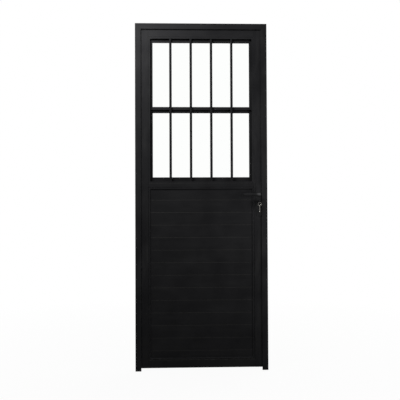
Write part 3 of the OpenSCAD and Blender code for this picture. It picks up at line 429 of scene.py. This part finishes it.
def cross_headed(screws, body, material):
    """The screws of a node, with a cross sunk into each flat head."""
    mesh = bmesh.new()
    mesh.from_mesh(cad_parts[screws].data)
    bmesh.ops.remove_doubles(mesh, verts=mesh.verts, dist=WELD)
    bmesh.ops.dissolve_limit(mesh, angle_limit=FLAT, verts=mesh.verts, edges=mesh.edges)
    heads = [f for f in mesh.faces if len(f.verts) > HEAD_CORNERS and f.calc_area() > HEAD_AREA]
    for number, head in enumerate(heads):
        stopped_at = Matrix.Rotation(number * SCREW_TURN, 3, head.normal)
        across = stopped_at @ head.normal.orthogonal().normalized()
        quarter = Matrix.Rotation(math.pi / 2, 3, head.normal)
        middle = head.calc_center_median()
        rim = list(head.edges)
        outline = []
        for _ in range(4):
            beside = quarter @ across
            outline += [across * CROSS_REACH - beside * CROSS_ARM, across * CROSS_REACH + beside * CROSS_ARM,
                        (across + beside) * CROSS_ARM]
            across = beside
        cross = mesh.faces.new([mesh.verts.new(middle + point) for point in outline])
        bmesh.ops.delete(mesh, geom=[head], context="FACES_ONLY")
        bmesh.ops.bridge_loops(mesh, edges=rim + list(cross.edges))
        bmesh.ops.inset_individual(mesh, faces=[cross], thickness=CROSS_SLOPE, depth=-CROSS_DEPTH)
    piece = dressed("cross_headed_" + screws, mesh, material, body)
    piece.data.set_sharp_from_angle(angle=SCREW_CREASE)
    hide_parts(screws)


def key_hole():
    """Middle of the hole in the bow of the key that is in the lock."""
    low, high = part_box("key")
    return Vector(((low.x + high.x) / 2, low.y + KEY_HOLE_IN, (low.z + high.z) / 2))


def ring_middle():
    """The ring hangs on the lower edge of that hole, a little to the right."""
    below = math.sqrt(RING_RADIUS ** 2 - RING_ASIDE ** 2)
    return key_hole() + Vector((RING_ASIDE, 0, RING_WIRE - KEY_HOLE_RADIUS - below))


def split_ring(material):
    """Turns of round wire, wound side by side, that face the camera."""
    mesh = bmesh.new()
    middle = ring_middle()
    start = Matrix.Translation(middle + Vector((RING_RADIUS, -RING_WIRE, 0)))
    bmesh.ops.create_circle(mesh, cap_ends=True, segments=WIRE_SIDES, radius=RING_WIRE, matrix=start)
    wire = mesh.verts[:] + mesh.edges[:] + mesh.faces[:]
    bmesh.ops.spin(mesh, geom=wire, cent=middle, axis=(0, 1, 0), angle=RING_TURNS * math.tau,
                   steps=RING_TURNS * RING_STEPS, dvec=(0, 2 * RING_WIRE / RING_STEPS, 0), use_merge=False)
    dressed("split_ring", mesh, material, "key")


def spare_key(material):
    """A second key on the ring, on edge to the camera: a round bow with a hole, and a blade with its cuts."""
    mesh = bmesh.new()
    hang = ring_middle() - Vector((0, 0, RING_RADIUS - RING_WIRE + KEY_HOLE_RADIUS))
    half = SPARE_THICKNESS / 2
    corners = [(-half, KEY_HOLE_RADIUS), (half, KEY_HOLE_RADIUS), (half, SPARE_BOW_RADIUS),
               (-half, SPARE_BOW_RADIUS)]
    verts = [mesh.verts.new(hang + Vector((x, 0, r))) for x, r in corners]
    edges = [mesh.edges.new((verts[i - 1], verts[i])) for i in range(len(verts))]
    bmesh.ops.spin(mesh, geom=verts + edges, cent=hang, axis=(1, 0, 0), angle=math.tau, steps=SPARE_BOW_STEPS,
                   use_merge=True)
    top = hang.z - SPARE_BOW_RADIUS * SPARE_BLADE_START
    size = Matrix.Diagonal((SPARE_THICKNESS * SPARE_BLADE_SHARE, SPARE_BLADE_WIDTH, SPARE_BLADE_LENGTH, 1))
    middle = Matrix.Translation((hang.x, hang.y, top - SPARE_BLADE_LENGTH / 2))
    bmesh.ops.create_cube(mesh, size=1, matrix=middle @ size)
    lengthwise = [e for e in mesh.edges if e.calc_length() > SPARE_BLADE_LENGTH / 2]
    bmesh.ops.subdivide_edges(mesh, edges=lengthwise, cuts=2 * len(SPARE_CUTS), use_grid_fill=True)
    cut_side = hang.y - SPARE_BLADE_WIDTH / 2
    side = [v for v in mesh.verts if abs(v.co.y - cut_side) < NEAR and v.co.z < top - MM]
    heights = sorted({round(v.co.z, HEIGHT_DECIMALS) for v in side})
    for height, depth in zip(heights[1::2], SPARE_CUTS):
        cut = [v for v in side if abs(v.co.z - height) < NEAR]
        bmesh.ops.translate(mesh, verts=cut, vec=(0, depth, 0))
    sharp = [e for e in mesh.edges if len(e.link_faces) == 2 and e.calc_face_angle() > SPARE_BROKEN_FROM]
    bmesh.ops.bevel(mesh, geom=sharp, offset=SPARE_BROKEN_EDGE, offset_type="OFFSET", segments=2, profile=0.5,
                    affect="EDGES", material=-1, clamp_overlap=True)
    bmesh.ops.rotate(mesh, verts=mesh.verts, cent=hang, matrix=Matrix.Rotation(SPARE_TWIST, 3, "Z"))
    piece = dressed("spare_key", mesh, material, "key")
    piece.data.set_sharp_from_angle(angle=SPARE_CREASE)


def seen_directly(tree):
    """1 for rays of the camera and for those that glass and gloss send on, 0 for scattered light."""
    path = add_node(tree, "ShaderNodeLightPath").outputs
    gloss = add_node(tree, "ShaderNodeMath", links={0: path["Is Camera Ray"], 1: path["Is Glossy Ray"]},
                     operation="MAXIMUM")
    return add_node(tree, "ShaderNodeMath", links={0: gloss, 1: path["Is Transmission Ray"]},
                    operation="MAXIMUM")


def white_studio():
    """A white background for the camera, for glass and for shining metal, and a soft light for the rest."""
    world = bpy.data.worlds.new("white_studio")
    bpy.context.scene.world = world
    world.use_nodes = True
    tree = world.node_tree
    tree.nodes.clear()
    white = add_node(tree, "ShaderNodeBackground", {"Color": WHITE, "Strength": 1.0})
    soft = add_node(tree, "ShaderNodeBackground", {"Color": linear("#f4f5f7"), "Strength": 0.05})
    shown = add_node(tree, "ShaderNodeMixShader", links={0: seen_directly(tree), 1: soft, 2: white})
    add_node(tree, "ShaderNodeOutputWorld", links={0: shown})


def pale_floor():
    """A white floor that fades into the background, with the door's soft shadow near its feet."""
    mesh = bmesh.new()
    bmesh.ops.create_grid(mesh, x_segments=1, y_segments=1, size=FLOOR_HALF)
    data = bpy.data.meshes.new("floor")
    mesh.to_mesh(data)
    mesh.free()
    floor = bpy.data.objects.new("floor", data)
    bpy.context.scene.collection.objects.link(floor)
    material, tree, place = new_material("white_studio_floor")
    scaled = add_node(tree, "ShaderNodeMapping", {"Scale": (1 / SHADOW_REACH,) * 3}, {"Vector": place})
    near = add_node(tree, "ShaderNodeTexGradient", links={0: scaled}, gradient_type="SPHERICAL")
    kept = add_node(tree, "ShaderNodeMath", {1: -SHADOW_SHARE, 2: 1.0}, {0: near.outputs["Fac"]},
                    operation="MULTIPLY_ADD")
    share = add_node(tree, "ShaderNodeMath", links={0: kept, 1: seen_directly(tree)}, operation="MULTIPLY")
    matt = add_node(tree, "ShaderNodeBsdfDiffuse", {"Color": linear("#868686")})
    glow = add_node(tree, "ShaderNodeEmission", {"Color": WHITE, "Strength": 1.0})
    mixed = add_node(tree, "ShaderNodeMixShader", links={0: share, 1: matt, 2: glow})
    add_node(tree, "ShaderNodeOutputMaterial", links={0: mixed})
    data.materials.append(material)


def soft_lamp(name, place, target, size, power, mirrored=False):
    """A square soft box that faces a point. The camera doesn't see it, and it doesn't show through the panes.
    Only a mirrored one shines in gloss."""
    lamp = bpy.data.lights.new(name, "AREA")
    lamp.shape = "SQUARE"
    lamp.size = size
    lamp.energy = power
    held = bpy.data.objects.new(name, lamp)
    held.location = place
    held.visible_camera = False
    held.visible_glossy = mirrored
    held.visible_transmission = False
    held.rotation_euler = (Vector(target) - Vector(place)).to_track_quat("-Z", "Y").to_euler()
    bpy.context.scene.collection.objects.link(held)


def viewing_camera():
    """The camera of the photograph: level eye, turned and tilted by a degree or two."""
    lens = bpy.data.cameras.new("camera")
    lens.lens = CAMERA_LENS
    lens.sensor_width = SENSOR
    turn = (Matrix.Rotation(math.radians(-CAMERA_TURN), 4, "Z")
            @ Matrix.Rotation(math.radians(90 + CAMERA_RISE), 4, "X")
            @ Matrix.Rotation(math.radians(CAMERA_ROLL), 4, "Z"))
    camera = bpy.data.objects.new("camera", lens)
    camera.matrix_world = Matrix.Translation(CAMERA_PLACE) @ turn
    bpy.context.scene.collection.objects.link(camera)
    bpy.context.scene.camera = camera


bpy.context.scene.view_settings.view_transform = "Standard"
viewing_camera()
white_studio()
pale_floor()
soft_lamp("upper_left_box", place=(-0.74, -1.0, 2.44), target=(-0.36, 0, 1.75), size=0.7, power=52,
          mirrored=True)
soft_lamp("front_fill", place=(0.95, -0.7, 1.02), target=(0.34, 0, 0.98), size=0.7, power=10)
soft_lamp("inside_box", place=(1.0, 1.6, 2.6), target=(0, 0, 1.2), size=1.5, power=110)
soft_lamp("left_box", place=(-2.4, 0.9, 1.7), target=(-0.4, 0, 1.1), size=1.4, power=40)
soft_lamp("right_box", place=(2.4, 0.9, 1.7), target=(0.4, 0, 1.1), size=1.4, power=40)

zinc = zinc_plate()
nickel = nickel_plate()
finish_nodes(UPRIGHTS, powder_coat("black_powder_coat_upright", PROFILE_TONES, UPRIGHT_LINES,
                                   smear_share=0.3, dust_and_highlight_share=0.4))
finish_nodes(LEVELS, powder_coat("black_powder_coat_level", PROFILE_TONES, LEVEL_LINES,
                                 smear_share=0.12, dust_and_highlight_share=0.4))
finish_nodes(SLATS, powder_coat("black_powder_coat_slat", PROFILE_TONES, LEVEL_LINES,
                                smear_share=0.12, dust_and_highlight_share=0.22))
# The beads get a paler copy of the coat: painted light that lifts the shade along them
finish_nodes(["panel_beads"], powder_coat("black_powder_coat_bead", LIGHTENED_BEAD_TONES, LEVEL_LINES,
                                          smear_share=0.0, dust_and_highlight_share=0.0))
finish_nodes(["grille_bars"], bar_paint())
finish_nodes(FITTINGS, fitting_enamel("black_baked_enamel"))
for lever in LEVERS:
    finish_nodes([lever], fitting_enamel("black_enamel_on_" + lever, painted_highlight_spot(lever)))
finish_nodes(STEELWORK, zinc)
cross_headed("frame_screws", "frame", zinc)
cross_headed("leaf_screws", "leaf", zinc)
finish_nodes(CYLINDER, black_plate())
finish_nodes(["key"], dipped_key())
finish_nodes(RUBBERS, extruded_rubber())
finish_nodes(PANES, float_glass())
finish_nodes(NYLON, moulded_nylon())
finish_nodes(["corner_cleats"], mill_aluminium())
split_ring(nickel)
spare_key(nickel)
